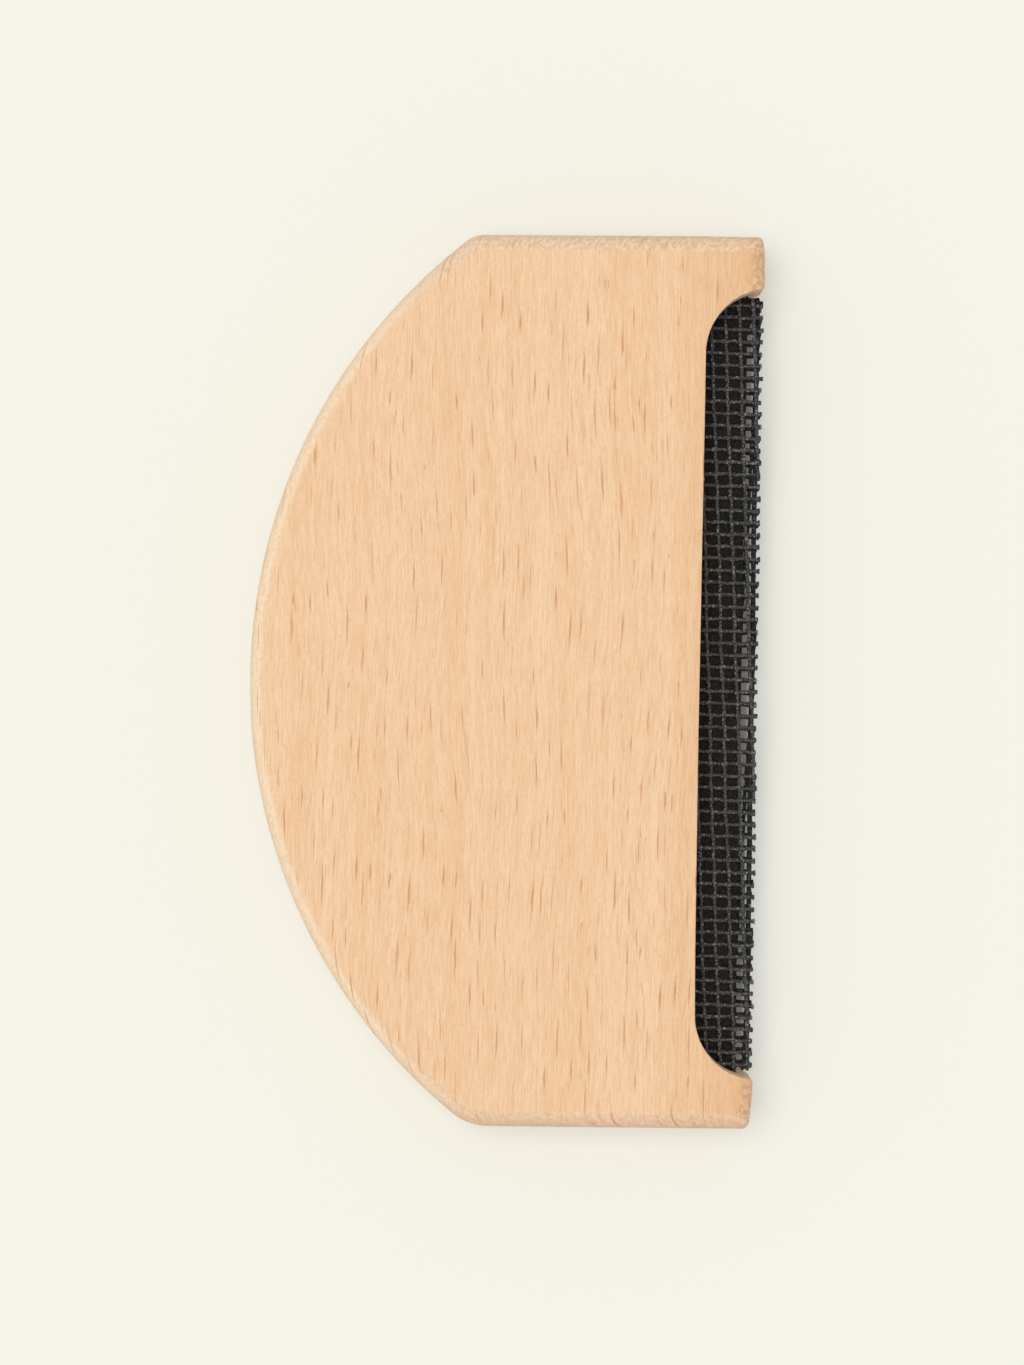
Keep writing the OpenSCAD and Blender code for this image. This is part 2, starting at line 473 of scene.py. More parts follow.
def rounded_edges(nodes, base, noises, x, y, flatness, endness):
    """Where the edges are rounded over: a painted highlight along the back, patchy on the horns, end grain
    at the ends.
    """
    # Painted highlight on the rounded edge along the back
    rim_highlight = nodes.math("MULTIPLY", nodes.span(x, RIM_X, RIM_SHARE), nodes.span(y, RIM_Y))
    base = nodes.layer(base, RIM_HIGHLIGHT, nodes.span(flatness, RIM_FLATNESS), rim_highlight)

    turned = nodes.math("MULTIPLY", nodes.span(flatness, TURNED_FLATNESS),
                        nodes.span(x, TURNED_X, TURNED_SHARE))
    for reach, colour in TURNED_PATCHES:
        base = nodes.layer(base, colour, turned, nodes.span(noises["patches"], reach))

    mottle = noises["mottle"]
    end_colour = nodes.mix(nodes.span(mottle, MOTTLE_SPAN), DARK_END_GRAIN, LIGHT_END_GRAIN)
    ragged = nodes.math("MULTIPLY_ADD", mottle, END_RAGGEDNESS, -END_RAGGEDNESS / 2)
    end_grain = nodes.span(nodes.math("ADD", endness, ragged), END_SPAN)
    flat_end = nodes.math("MULTIPLY", nodes.span(x, END_GRAIN_X, END_GRAIN_X_SHARE),
                          nodes.span(y, END_GRAIN_Y, END_GRAIN_Y_SHARE))
    return nodes.layer(base, end_colour, end_grain, flat_end)


def notch_wall(nodes, x, y, flatness):
    """Where shade is painted: 1 on the notch's cut wall, fading out towards its mouth."""
    inside = nodes.math("MULTIPLY", nodes.span(x, NOTCH_WALL_X),
                        nodes.span(nodes.math("ABSOLUTE", y), NOTCH_WALL_Y))
    inside = nodes.math("MULTIPLY", inside, nodes.span(x, NOTCH_MOUTH_X))
    return nodes.math("MULTIPLY", inside, nodes.span(flatness, UPRIGHT_FLATNESS))


def beech_material():
    nodes = material_nodes("beech")
    x, y, z = nodes.millimetres()
    place = wood_place(nodes, x, y, z)
    noises = {name: nodes.noise(place, *values) for name, values in WOOD_NOISES.items()}
    normal = nodes.split(nodes.add("ShaderNodeNewGeometry").outputs["Normal"])
    flatness = nodes.math("ABSOLUTE", normal["Z"])
    endness = nodes.math("ABSOLUTE", normal["Y"])
    base = sawn_face(nodes, place, noises, x)
    base = rounded_edges(nodes, base, noises, x, y, flatness, endness)

    ragged = nodes.math("MULTIPLY_ADD", noises["ragged"], RAGGEDNESS, -RAGGEDNESS / 2)
    strong = ray_flecks(nodes, place, ragged, **STRONG_FLECKS)
    faint = ray_flecks(nodes, place, ragged, **FAINT_FLECKS)
    base = nodes.layer(base, STRONG_FLECK, strong, STRONG_SHARE)
    base = nodes.layer(base, FAINT_FLECK, faint, FAINT_SHARE)
    # Painted shade on the notch's wall
    base = nodes.layer(base, PAINTED_WALL_SHADE, notch_wall(nodes, x, y, flatness), PAINTED_WALL_SHADE_SHARE, "MULTIPLY")

    relief = nodes.math("ADD", nodes.math("MULTIPLY", noises["fibres"], FIBRE_RELIEF),
                        nodes.math("MULTIPLY", noises["pores"], PORE_RELIEF))
    relief = nodes.math("SUBTRACT", relief, nodes.math("MULTIPLY", strong, FLECK_RELIEF))
    bump = nodes.bump(relief, *BEECH_BUMP)
    return nodes.surface(nodes.glossy_paint(base, bump, roughness=0.62, specular=0.3))


# The other materials. A noise says its waves to the millimetre, its detail and its roughness, and a bump
# its distance and its strength

COAT_NOISE = (1.6, 2.0, 0.6)
COAT_SPAN = (0.3, 0.7)
DUST_NOISE = (5.5, 2.0, 0.6)
DUST_SPAN = (0.51, 0.6)
DUST_SHARE = 0.66
DARK_COAT = srgb(18, 17, 17)
LIGHT_COAT = srgb(37, 36, 36)
DUST = srgb(112, 111, 111)
GLINT = srgb(184, 185, 184)
CUT_YARN = srgb(188, 186, 178)
GLINTS_PER_MM = 3.0
GLINT_SIZES = (-0.12, 0.5)
GLINT_SHARPNESS = 8.0
GLINT_SHARE = 0.38
SCREEN_BUMP = (0.08 * MM, 0.9)

CORE_NOISE = (3.6, 3.0, 0.7)
CORE_SPAN = (0.35, 0.68)
DARK_CORE = srgb(14, 13, 13)
LIGHT_CORE = srgb(41, 37, 34)
CORE_BUMP = (0.03 * MM, 0.7)

GLUE_NOISE = (0.9, 3.0, 0.55)
GLUE_SPAN = (0.3, 0.7)
DARK_GLUE = srgb(214, 190, 146)
LIGHT_GLUE = srgb(232, 214, 178)
GLUE_DEPTH = {"Subsurface Weight": 0.1, "Subsurface Scale": 0.3 * MM}
GLUE_BUMP = (0.05 * MM, 0.5)


def even_noise(nodes, place, per_mm, detail, roughness):
    return nodes.noise(place, (per_mm, per_mm, per_mm), detail, roughness)


def screen_material(name, dust_and_sheen):
    """Black vinyl over glass yarn: a dull, lumpy coat with pale dusty specks, painted glints that stand in
    for highlights, and paler cut ends. Fewer specks and glints and less gloss paint a strip darker, as in
    shade.
    """
    nodes = material_nodes(name)
    place = nodes.millimetres()
    coat = even_noise(nodes, place, *COAT_NOISE)
    grain = even_noise(nodes, place, *DUST_NOISE)
    base = nodes.mix(nodes.span(coat, COAT_SPAN), DARK_COAT, LIGHT_COAT)
    base = nodes.layer(base, DUST, nodes.span(grain, DUST_SPAN), DUST_SHARE * dust_and_sheen)

    # Painted glints: small bright dots in the coat's colour that stand in for highlights
    cells = nodes.cells(nodes.vector(*place), GLINTS_PER_MM)
    chance = nodes.split(cells["Color"])["X"]
    size = nodes.math("MULTIPLY_ADD", chance, GLINT_SIZES[1] - GLINT_SIZES[0], GLINT_SIZES[0])
    inside = nodes.math("SUBTRACT", size, cells["Distance"])
    glint = nodes.math("MULTIPLY", inside, GLINT_SHARPNESS, clamp=True)
    base = nodes.layer(base, GLINT, glint, GLINT_SHARE * dust_and_sheen)

    cut = nodes.add("ShaderNodeAttribute", attribute_name="cut_end").outputs["Fac"]
    base = nodes.mix(cut, base, CUT_YARN)
    bump = nodes.bump(grain, *SCREEN_BUMP)
    return nodes.surface(nodes.glossy_paint(base, bump, roughness=0.5, specular=0.35 * dust_and_sheen))


def core_material():
    nodes = material_nodes("core_black")
    grain = even_noise(nodes, nodes.millimetres(), *CORE_NOISE)
    base = nodes.mix(nodes.span(grain, CORE_SPAN), DARK_CORE, LIGHT_CORE)
    bump = nodes.bump(grain, *CORE_BUMP)
    return nodes.surface(nodes.glossy_paint(base, bump, roughness=0.75, specular=0.12))


def glue_material():
    nodes = material_nodes("cured_glue")
    clouds = even_noise(nodes, nodes.millimetres(), *GLUE_NOISE)
    base = nodes.mix(nodes.span(clouds, GLUE_SPAN), DARK_GLUE, LIGHT_GLUE)
    bump = nodes.bump(clouds, *GLUE_BUMP)
    return nodes.surface(nodes.glossy_paint(base, bump, roughness=0.35, specular=0.5, **GLUE_DEPTH))


# Mesh helpers

def new_object(name, mesh, material):
    piece = bpy.data.objects.new(name, mesh)
    bpy.context.scene.collection.objects.link(piece)
    mesh.materials.clear()
    mesh.materials.append(material)
    return piece


def lofted(name, rings):
    """A closed mesh through rings of equal count, with a flat face at each end."""
    mesh = bmesh.new()
    loops = [[mesh.verts.new(point) for point in ring] for ring in rings]
    count = len(rings[0])
    for below, above in zip(loops, loops[1:]):
        for i in range(count):
            after = (i + 1) % count
            mesh.faces.new((below[i], below[after], above[after], above[i]))
    mesh.faces.new(list(reversed(loops[0])))
    mesh.faces.new(loops[-1])
    bmesh.ops.remove_doubles(mesh, verts=mesh.verts, dist=MERGE_DISTANCE)
    bmesh.ops.recalc_face_normals(mesh, faces=mesh.faces)
    data = bpy.data.meshes.new(name)
    mesh.to_mesh(data)
    mesh.free()
    return data


def box_mesh(name, low, high):
    xs, ys, zs = zip(low, high)
    rings = [[(xs[0], ys[0], z), (xs[1], ys[0], z), (xs[1], ys[1], z), (xs[0], ys[1], z)] for z in zs]
    return lofted(name, rings)


def apply_modifiers(piece):
    bpy.context.view_layer.update()
    graph = bpy.context.evaluated_depsgraph_get()
    mesh = bpy.data.meshes.new_from_object(piece.evaluated_get(graph))
    piece.modifiers.clear()
    piece.data = mesh


def cut_away(piece, cutter_mesh):
    cutter = bpy.data.objects.new("cutter", cutter_mesh)
    bpy.context.scene.collection.objects.link(cutter)
    cut = piece.modifiers.new("cut", "BOOLEAN")
    cut.operation = "DIFFERENCE"
    cut.solver = "EXACT"
    cut.object = cutter
    apply_modifiers(piece)
    bpy.data.objects.remove(cutter)


def eased(value):
    """A smooth step from 0 to 1."""
    value = min(max(value, 0.0), 1.0)
    return value * value * (3 - 2 * value)


def faded(value, reach):
    """A smooth step from 0 where a change starts to 1 where it is complete."""
    start, end = reach
    return eased((value - start) / (end - start))


# The block

def arc(centre, radius, start, end, steps):
    """Points on an arc as (centre, radius, angle, middle angle), which can be drawn in at any inset."""
    middle = (start + end) / 2
    return [(centre, radius, start + (end - start) * i / steps, middle) for i in range(steps + 1)]


def shoulder_centre(radius, side):
    """The middle of the round that joins the arched back and an end."""
    y = side * (END_Y - radius)
    x = BACK_X + BACK_RADIUS - math.sqrt((BACK_RADIUS - radius) ** 2 - (y - BACK_SHIFT) ** 2)
    return (x, y)


def outline_arcs():
    """The convex outline, anticlockwise from the upper horn's corner."""
    back = (BACK_X + BACK_RADIUS, BACK_SHIFT)
    upper = shoulder_centre(UPPER_SHOULDER, 1)
    lower = shoulder_centre(LOWER_SHOULDER, -1)
    upper_angle = math.atan2(upper[1] - back[1], upper[0] - back[0])
    lower_angle = math.atan2(lower[1] - back[1], lower[0] - back[0]) + 2 * math.pi
    upper_tip = (TIP_X - UPPER_HORN_CORNER, END_Y - UPPER_HORN_CORNER)
    lower_tip = (TIP_X - LOWER_HORN_CORNER, LOWER_HORN_CORNER - END_Y)
    points = arc(upper_tip, UPPER_HORN_CORNER, 0, QUARTER_TURN, CORNER_STEPS)
    points += arc(upper, UPPER_SHOULDER, QUARTER_TURN, upper_angle, SHOULDER_STEPS)
    points += arc(back, BACK_RADIUS, upper_angle, lower_angle, BACK_STEPS)[1:-1]
    points += arc(lower, LOWER_SHOULDER, lower_angle, 3 * QUARTER_TURN, SHOULDER_STEPS)
    points += arc(lower_tip, LOWER_HORN_CORNER, -QUARTER_TURN, 0, CORNER_STEPS)
    return points


def inset_point(centre, radius, angle, middle, inset):
    """A point of the outline drawn in by inset; past its radius, a corner draws in along its diagonal."""
    reach = radius - inset
    if reach < 0:
        reach *= math.sqrt(2)
        angle = middle
    return (centre[0] + reach * math.cos(angle), centre[1] + reach * math.sin(angle))


def straight_fill(points, spacing):
    """Adds points along the outline's straight stretches, so that no face there is long and thin."""
    filled = []
    for i, here in enumerate(points):
        after = points[(i + 1) % len(points)]
        filled.append((here, here, 0.0))
        gap = math.dist(inset_point(*here, 0.0), inset_point(*after, 0.0))
        count = int(gap / spacing)
        filled += [(here, after, k / count) for k in range(1, count)]
    return filled


def ring_points(outline, inset, z):
    ring = []
    for here, after, part in outline:
        a = inset_point(*here, inset)
        b = inset_point(*after, inset)
        ring.append((a[0] + (b[0] - a[0]) * part, a[1] + (b[1] - a[1]) * part, z))
    return ring


def hand_worked(point):
    """Sawn ends lean a little; sanding leaves the back fuller below and draws the horns in at their ends."""
    x, y, z = point
    near_end = (y / END_Y) ** TILT_POWER
    at_tip = faded(x, HORN_TAPER_X)
    off_middle = x - TILT_MIDDLE_X
    if y > 0:
        part = max((y - END_Y) / UPPER_TAPER_LENGTH + 1, 0.0)
        taper = UPPER_HORN_TAPER * at_tip * part ** UPPER_TAPER_POWER
        fall = UPPER_END_DROP + HORN_FALL * faded(x, HORN_FALL_X)
        return (x - taper, y + (UPPER_END_TILT * off_middle - fall) * near_end, z)
    part = max((-y - END_Y) / LOWER_TAPER_LENGTH + 1, 0.0)
    taper = LOWER_HORN_TAPER * at_tip * part ** LOWER_TAPER_POWER
    full = BACK_FULLNESS * faded(y, FULLNESS_Y) * faded(x, FULLNESS_X)
    return (x - full - taper, y + (LOWER_END_TILT * off_middle + LOWER_END_DROP) * near_end, z)


def quarter_round(radius, steps):
    """How far a rounded edge is drawn in and how far it lies below its face, from the wall to the face."""
    angles = [QUARTER_TURN * i / steps for i in range(steps + 1)]
    return [(radius * (1 - math.cos(angle)), radius * (1 - math.sin(angle))) for angle in angles]


def blank_mesh():
    """The block before its notch is cut, rounded over along its whole outline."""
    outline = straight_fill(outline_arcs(), OUTLINE_SPACING)
    edge = quarter_round(EDGE_ROUND, ROUND_STEPS)
    rings = [ring_points(outline, inset, depth) for inset, depth in reversed(edge)]
    rings += [ring_points(outline, inset, THICKNESS - depth) for inset, depth in edge]
    return lofted("blank", [[hand_worked(point) for point in ring] for ring in rings])


# The notch

def wall_x(y):
    """Where the notch's floor lies at this Y, after a cut that was guided by hand."""
    shallower = SHALLOWER * faded(y, SHALLOWER_Y)
    deeper = DEEPER * faded(y, DEEPER_START_Y) * faded(y, DEEPER_END_Y)
    return FLOOR_X + shallower - deeper


def notch_half(end, corner, mouth_corner, side):
    """Plan of one end of the notch, mouth to floor: each point with the way into the wood from it."""
    mouth = (TIP_X - mouth_corner, end + mouth_corner)
    centre = (wall_x(side * (end - corner)) + corner, end - corner)
    points = [(TIP_X + NOTCH_CUT_PAST, end + NOTCH_CUT_PAST, 0, 1),
              (TIP_X + MOUTH_CUT_PAST, mouth[1], 0, 1)]
    for i in range(MOUTH_STEPS + 1):
        angle = -QUARTER_TURN * i / MOUTH_STEPS
        points.append((mouth[0] + mouth_corner * math.cos(angle),
                       mouth[1] + mouth_corner * math.sin(angle), -math.cos(angle), -math.sin(angle)))
    for i in range(NOTCH_CORNER_STEPS + 1):
        angle = QUARTER_TURN + QUARTER_TURN * i / NOTCH_CORNER_STEPS
        x = centre[0] + corner * math.cos(angle)
        if x < mouth[0] - MOUTH_JOIN:
            points.append((x, centre[1] + corner * math.sin(angle), math.cos(angle), math.sin(angle)))
    return [(x, side * y, into_x, side * into_y) for x, y, into_x, into_y in points]


def notch_plan():
    upper = notch_half(NOTCH_UPPER_END, UPPER_NOTCH_CORNER, UPPER_MOUTH_CORNER, 1)
    lower = notch_half(NOTCH_LOWER_END, LOWER_NOTCH_CORNER, LOWER_MOUTH_CORNER, -1)
    high, low = upper[-1][1], lower[-1][1]
    heights = [high + (low - high) * i / NOTCH_FLOOR_STEPS for i in range(1, NOTCH_FLOOR_STEPS)]
    return upper + [(wall_x(y), y, -1, 0) for y in heights] + lower[::-1]


def notch_cutter():
    """The notch, with its edges eased: just broken along its floor and sanded rounder towards the horns."""
    plan = notch_plan()
    rings = []
    for face, outward in ((0.0, -1), (THICKNESS, 1)):
        rows = []
        for grow, depth in quarter_round(1.0, EASE_STEPS):
            row = []
            for x, y, into_x, into_y in plan:
                ease = NOTCH_EASE + (MOUTH_EASE - NOTCH_EASE) * faded(x, MOUTH_EASE_X)
                row.append((x + into_x * ease * grow, y + into_y * ease * grow,
                            face - outward * ease * depth))
            rows.append(row)
        rows.append([(x, y, face + outward * FACE_CUT_PAST) for x, y, z in rows[-1]])
        rings += rows if outward > 0 else rows[::-1]
    return lofted("notch_cutter", rings)


def groove_cutter():
    """The groove that holds the strips, as much longer than the CAD's as the strips are."""
    low = (glue_low[0], glue_low[1] - STRIP_EXTRA - LOW_EXTRA, glue_low[2])
    high = (TIP_X + GROOVE_CUT_PAST, glue_high[1] + STRIP_EXTRA, glue_high[2])
    return box_mesh("groove_cutter", low, high)


def build_body():
    body = new_object("beech_block", blank_mesh(), beech_material())
    cut_away(body, notch_cutter())
    cut_away(body, groove_cutter())
    body.data.shade_smooth()
    body.data.set_sharp_from_angle(angle=SHARP_ANGLE)
    weighted = body.modifiers.new("weighted", "WEIGHTED_NORMAL")
    weighted.keep_sharp = True
    weighted.weight = NORMAL_WEIGHT
    apply_modifiers(body)
    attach(body, "root")
    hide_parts("beech_body")


# The screens

ACROSS_THE_ROW = Vector((0, 1, 0))
ACROSS_THE_COLUMN = Vector((1, 0, 0))
UP = Vector((0, 0, 1))


class Threads:
    """Gathers round threads into one mesh."""

    def __init__(self):
        self.points = []
        self.faces = []
        self.whiteness = []

    def thread(self, centres, side, half_width, half_height, cut_end=0.0, pale=0.0):
        """A thread through the centres, with its half width to the side and its half height at each."""
        first = len(self.points)
        last = len(centres) - 1
        for i, centre in enumerate(centres):
            whiteness = max(pale, cut_end * (1 - (last - i) * WHITENESS_FADE))
            for k in range(THREAD_SIDES):
                angle = 2 * math.pi * k / THREAD_SIDES
                out = side * (half_width[i] * math.cos(angle)) + UP * (half_height[i] * math.sin(angle))
                self.points.append(centre + out)
                self.whiteness.append(whiteness)
        for i in range(last):
            for k in range(THREAD_SIDES):
                after = (k + 1) % THREAD_SIDES
                a = first + i * THREAD_SIDES
                b = a + THREAD_SIDES
                self.faces.append((a + k, a + after, b + after, b + k))
        self.faces.append(tuple(first + k for k in reversed(range(THREAD_SIDES))))
        self.faces.append(tuple(first + last * THREAD_SIDES + k for k in range(THREAD_SIDES)))

    def mesh(self, name):
        data = bpy.data.meshes.new(name)
        data.from_pydata([tuple(p) for p in self.points], [], self.faces)
        cut_end = data.attributes.new("cut_end", "FLOAT", "POINT")
        cut_end.data.foreach_set("value", self.whiteness)
        fix = bmesh.new()
        fix.from_mesh(data)
        bmesh.ops.recalc_face_normals(fix, faces=fix.faces)
        fix.to_mesh(data)
        fix.free()
        data.shade_smooth()
        return data


class Screen:
    """One cut strip of woven screen: rows that cross it, and columns along it, a little askew."""

    def __init__(self, name, node, seed, middle_z, face, row_place, row_tilt, row_pitch, column_x,
                 column_tilt):
        self.name = name
        self.node = node
        self.chance = random.Random(seed)
        self.seed = seed
        self.middle_z = middle_z
        self.face = face
        self.row_place = row_place
        self.row_tilt = math.tan(row_tilt)
        self.column_place = column_x
        self.column_tilt = math.tan(column_tilt)
        self.row_pitch = row_pitch
        self.low_x = front_low[0]
        self.half_y = front_high[1] + STRIP_EXTRA

    def sway(self, x, y, wave):
        length, size = wave
        return noise.noise(Vector((x / length, y / length, self.seed * SWAY_SEED_STEP))) * size

    def row_y(self, row, x):
        y = self.row_place[1] + row * self.row_pitch + self.row_tilt * (x - self.row_place[0])
        crowding = LOW_CROWDING * faded(y, CROWDING_Y)
        slip = REAR_SLIP * faded(y, SLIP_Y) if self.face < 0 else 0.0
        return y + crowding + slip + self.sway(x, y, ROW_SWAY)

    def column_x(self, column, y):
        x = self.column_place + column * LONG_PITCH + self.column_tilt * y
        return x + self.sway(x + COLUMN_SWAY_OFFSET, y, COLUMN_SWAY)

    def cut_x(self, y):
        return SCREEN_EDGE_X + self.sway(CUT_SWAY_OFFSET, y, CUT_SWAY)

    def cut_y(self, side, x):
        longer = LOW_EXTRA if side < 0 else 0.0
        return side * (self.half_y + longer) + self.sway(x, side, STRIP_END_SWAY)

    def height(self, phase):
        """Where a thread's middle lies: over the threads that it crosses at even phases, else under them."""
        return self.middle_z + self.face * WEAVE_RISE * math.cos(math.pi * phase)

    def scatter(self, reach):
        """A random length between two that are given in millimetres."""
        return self.chance.uniform(*reach) * MM

    def widths(self, count, size, ends, phases=()):
        """Half sizes along a thread: uneven, fuller where threads cross, and drawn in at each cut end."""
        sizes = [size * (1 + self.chance.uniform(-UNEVENNESS, UNEVENNESS)) for _ in range(count)]
        for i, phase in enumerate(phases):
            sizes[i] *= 1 + POOLING * math.cos(math.pi * phase) ** POOLING_POWER
        for i, part in enumerate(ends):
            sizes[i] *= part
            sizes[-1 - i] *= part
        return sizes

    def lay_row(self, threads, row, shift=0.0):
        far_x = self.cut_x(self.row_y(row, SCREEN_EDGE_X)) + self.scatter(STUB_SCATTER)
        if self.face < 0:
            far_x -= self.chance.uniform(0.0, REAR_SHORTFALL)
        step = LONG_PITCH / STEPS_PER_PITCH
        count = int((far_x - STUB_PLACES[-1] - self.low_x) / step)
        places = [self.low_x + i * step for i in range(count)]
        places += [far_x - back for back in reversed(STUB_PLACES)]
        centres = []
        phases = []
        for x in places:
            y = self.row_y(row, x) + shift
            if abs(y) > self.half_y - THREAD_HALF_WIDTH:
                return
            phase = (x - self.column_x(0, y)) / LONG_PITCH
            phases.append(phase)
            bend = WEAVE_SWAY * math.sin(math.pi * (phase + row))
            centres.append(Vector((x, y + bend, self.height(phase + row))))
        wide = self.widths(len(centres), THREAD_HALF_WIDTH, STUB_WIDTHS, phases)
        high = self.widths(len(centres), THREAD_HALF_HEIGHT, STUB_HEIGHTS)
        pale = PALE_STUB if self.chance.random() < PALE_STUB_CHANCE else 0.0
        threads.thread(centres, ACROSS_THE_ROW, wide, high, cut_end=pale)
        while self.chance.random() < FILAMENT_CHANCE:
            self.lay_filament(threads, centres[-1])

    def lay_filament(self, threads, root):
        """One hair of the glass yarn, sprung out of a cut end."""
        length = self.scatter(FILAMENT_LENGTH)
        heading = self.chance.uniform(-FILAMENT_HEADING, FILAMENT_HEADING)
        curl = self.chance.uniform(-FILAMENT_CURL, FILAMENT_CURL)
        climb = self.chance.uniform(*FILAMENT_CLIMB)
        place = root + Vector((-FILAMENT_ROOT * MM, self.scatter((-FILAMENT_ROOT, FILAMENT_ROOT)), 0))
        centres = [place]
        for i in range(FILAMENT_STEPS):
            angle = heading + curl * i / FILAMENT_STEPS
            ahead = Vector((math.cos(angle), math.sin(angle), climb))
            centres.append(centres[-1] + ahead * (length / FILAMENT_STEPS))
        radii = [FILAMENT_RADIUS] * len(centres)
        threads.thread(centres, ACROSS_THE_ROW, radii, radii, cut_end=FILAMENT_WHITENESS,
                       pale=FILAMENT_WHITENESS)

    def lay_column(self, threads, column):
        """A thread along the strip, in as many runs as the cut edge leaves of it."""
        low_y = self.cut_y(-1, self.column_x(column, -self.half_y)) + self.scatter(COLUMN_SCATTER)
        high_y = self.cut_y(1, self.column_x(column, self.half_y)) - self.scatter(COLUMN_SCATTER)
        count = int((high_y - low_y) / (self.row_pitch / STEPS_PER_PITCH))
        run = []
        phases = []
        for i in range(count + 1):
            y = low_y + (high_y - low_y) * i / count
            x = self.column_x(column, y)
            inside = self.low_x + THREAD_HALF_WIDTH < x < self.cut_x(y) - COLUMN_MARGIN
            if inside:
                phase = (y - self.row_y(0, x)) / self.row_pitch
                phases.append(phase)
                bend = WEAVE_SWAY * math.sin(math.pi * (column + phase))
                run.append(Vector((x + bend, y, self.height(phase + 1 + column))))
            if run and (not inside or i == count):
                if len(run) >= FEWEST_COLUMN_POINTS:
                    wide = self.widths(len(run), THREAD_HALF_WIDTH, COLUMN_ENDS, phases)
                    high = self.widths(len(run), THREAD_HALF_HEIGHT, COLUMN_ENDS)
                    threads.thread(run, ACROSS_THE_COLUMN, wide, high)
                run = []
                phases = []

    def lay_bead(self, threads):
        """The run of melted coating that holds the cross threads together just inside the cut edge."""
        count = int(2 * self.half_y / (self.row_pitch / BEAD_STEPS_PER_PITCH))
        run = []
        for i in range(count + 1):
            y = -self.half_y + 2 * self.half_y * i / count
            x = BEAD_X + self.sway(BEAD_SWAY_OFFSET, y, BEAD_SWAY)
            run.append(Vector((x, y, self.middle_z - self.face * BEAD_DEPTH)))
        wide = self.widths(len(run), BEAD_HALF_WIDTH, BEAD_ENDS)
        high = self.widths(len(run), BEAD_HALF_HEIGHT, BEAD_ENDS)
        threads.thread(run, ACROSS_THE_COLUMN, wide, high)

    def build(self, material):
        threads = Threads()
        rows = int(self.half_y * 2 / self.row_pitch) + SPARE_ROWS
        for row in range(-rows, rows + 1):
            self.lay_row(threads, row)
        self.lay_row(threads, END_ROW, END_ROW_SHIFT)
        if self.face < 0:
            self.lay_bead(threads)
        columns = int((SCREEN_EDGE_X - self.low_x) / LONG_PITCH) + SPARE_COLUMNS
        for column in range(-columns, columns + 1):
            self.lay_column(threads, column)
        piece = new_object(self.name, threads.mesh(self.name), material)
        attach(piece, "root")
        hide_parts(self.node)


def build_screens():
    """The front strip, and the rear one laid mirrored behind the core."""
    reach = THREAD_HALF_HEIGHT + WEAVE_RISE + THREAD_CLEARANCE
    front = Screen("front_screen", "front_mesh", FRONT_SEED, middle_z=core_high[2] + reach, face=1,
                   row_place=FRONT_ROW_PLACE, row_tilt=-FRONT_ROW_TILT, row_pitch=CROSS_PITCH,
                   column_x=FRONT_COLUMN_X, column_tilt=-SCREEN_TILT)
    rear = Screen("rear_screen", "rear_mesh", REAR_SEED, middle_z=core_low[2] - reach, face=-1,
                  row_place=REAR_ROW_PLACE, row_tilt=-REAR_ROW_TILT, row_pitch=REAR_PITCH,
                  column_x=REAR_COLUMN_X, column_tilt=SCREEN_TILT)
    front.build(screen_material("coated_screen", dust_and_sheen=1.0))
    # The rear strip is painted darker, with fewer specks and glints and less gloss, as shade from the front
    # strip and the core
    rear.build(screen_material("shaded_rear_screen", dust_and_sheen=0.35))


# The core and the glue

def core_plan(draw_in):
    low_y, high_y = core_low[1] - LOW_EXTRA, core_high[1]
    points = [(core_low[0] + draw_in, high_y - draw_in), (core_low[0] + draw_in, low_y + draw_in)]
    for i in range(CORE_STEPS + 1):
        y = low_y + draw_in + (high_y - low_y - 2 * draw_in) * i / CORE_STEPS
        wave = noise.noise(Vector((y / CORE_SWAY[0], CORE_SWAY_SEED, 0.0))) * CORE_SWAY[1]
        lean = CORE_LEAN * faded(y, CORE_LEAN_Y) - CORE_SETBACK
        flare = CORE_FLARE * faded(y, CORE_FLARE_Y)
        points.append((core_high[0] + wave + lean + flare - draw_in, y))
    return points


def build_core():
    low_z, high_z = core_low[2], core_high[2]
    levels = ((low_z, CORE_EASE), (low_z + CORE_EASE, 0.0),
              (high_z - CORE_EASE, 0.0), (high_z, CORE_EASE))
    rings = [[(x, y, z) for x, y in core_plan(draw_in)] for z, draw_in in levels]
    core = new_object("stiffening_core", lofted("stiffening_core", rings), core_material())
    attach(core, "root")
    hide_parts("core_strip")


def dress_glue():
    material = glue_material()
    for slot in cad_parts["adhesive_bed"].material_slots:
        slot.material = material


# Stage. The shade's places are in millimetres

STRIP_SHADE = srgb(196, 189, 182)
STRIP_MIDDLE_X = 20
STRIP_SHADE_X = (8.5, 9.4)
STRIP_SHADE_Y = (45.4, 46.6)


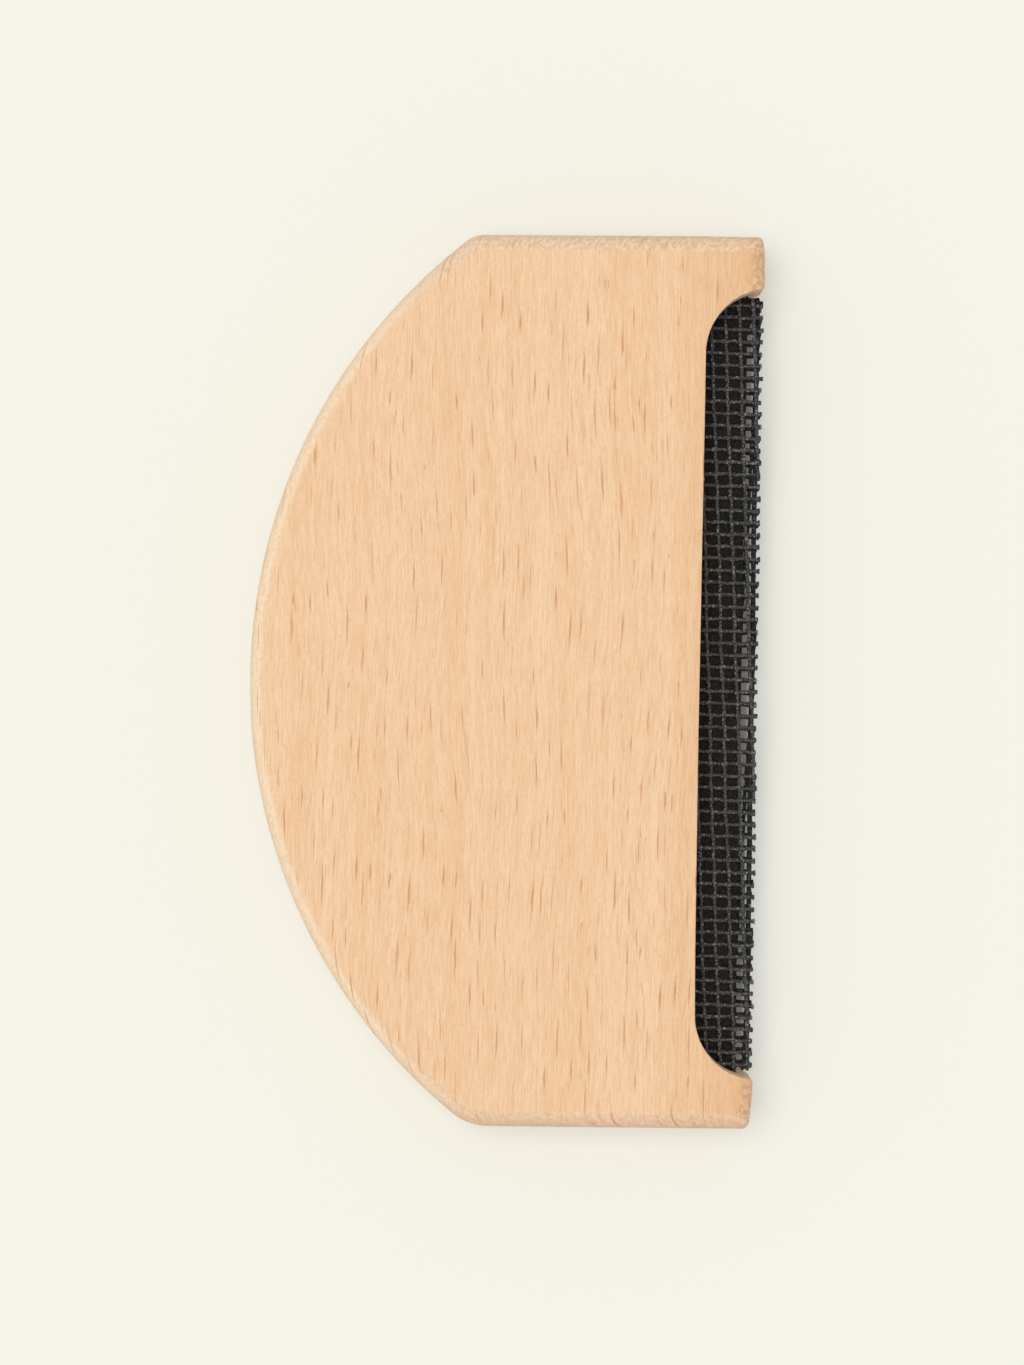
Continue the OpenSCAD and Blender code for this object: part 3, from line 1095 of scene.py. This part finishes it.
def floor_material():
    """A pale floor that shows the background's colour to the camera and keeps a light shadow.

    It is darker under the strips, as it shows through the outer squares of the mesh.
    """
    nodes = material_nodes("pale_floor")
    x, y, _ = nodes.millimetres()
    glow = nodes.add("ShaderNodeEmission", {"Color": (*FLOOR_GLOW, 1), "Strength": 1.0}).outputs[0]
    plain = nodes.mix_shaders(GLOW_SHARE, nodes.diffuse(FLOOR_PAINT), glow)
    off_middle = nodes.math("ABSOLUTE", nodes.math("SUBTRACT", x, STRIP_MIDDLE_X))
    beside = nodes.math("MAXIMUM", nodes.span(off_middle, STRIP_SHADE_X),
                        nodes.span(nodes.math("ABSOLUTE", y), STRIP_SHADE_Y))
    shown = nodes.mix_shaders(beside, nodes.diffuse(STRIP_SHADE), plain)
    return nodes.surface(nodes.mix_shaders(nodes.seen(), nodes.diffuse(FLOOR_BOUNCE), shown))


def build_floor():
    signs = ((-1, -1), (1, -1), (1, 1), (-1, 1))
    corners = [(x * FLOOR_REACH, y * FLOOR_REACH, 0) for x, y in signs]
    mesh = bpy.data.meshes.new("floor")
    mesh.from_pydata(corners, [], [(0, 1, 2, 3)])
    floor = new_object("floor", mesh, floor_material())
    floor.location.z = -FLOOR_GAP


def build_world():
    """Even light from all round, and the background's colour where the camera sees past the floor."""
    world = bpy.data.worlds.new("studio")
    bpy.context.scene.world = world
    nodes = Nodes(world, "ShaderNodeOutputWorld")
    ambient = nodes.add("ShaderNodeBackground", {"Color": (1, 1, 1, 1), "Strength": AMBIENT}).outputs[0]
    backdrop = nodes.add("ShaderNodeBackground", {"Color": (*BACKGROUND, 1)}).outputs[0]
    nodes.surface(nodes.mix_shaders(nodes.seen(), ambient, backdrop))


def build_key_light():
    light = bpy.data.lights.new("key", "AREA")
    light.shape = "DISK"
    light.size = KEY_SIZE
    light.energy = KEY_WATTS
    lamp = bpy.data.objects.new("key", light)
    bpy.context.scene.collection.objects.link(lamp)
    lamp.location = KEY_PLACE
    lamp.rotation_euler = (-Vector(KEY_PLACE)).to_track_quat("-Z", "Y").to_euler()


def build_camera():
    camera = bpy.data.cameras.new("camera")
    camera.sensor_fit = "VERTICAL"
    camera.sensor_height = SENSOR
    camera.lens = SENSOR * (CAMERA_HEIGHT - SCALE_HEIGHT) / (PICTURE[1] * METRES_PER_PIXEL)
    camera.clip_start = CAMERA_CLIP
    holder = bpy.data.objects.new("camera", camera)
    bpy.context.scene.collection.objects.link(holder)
    holder.location = (*CAMERA_CENTRE, CAMERA_HEIGHT)
    holder.rotation_euler = (0, 0, CAMERA_TURN)
    bpy.context.scene.camera = holder


build_camera()
build_world()
build_key_light()
build_floor()
build_body()
build_screens()
build_core()
dress_glue()
bpy.context.scene.view_settings.view_transform = "Standard"
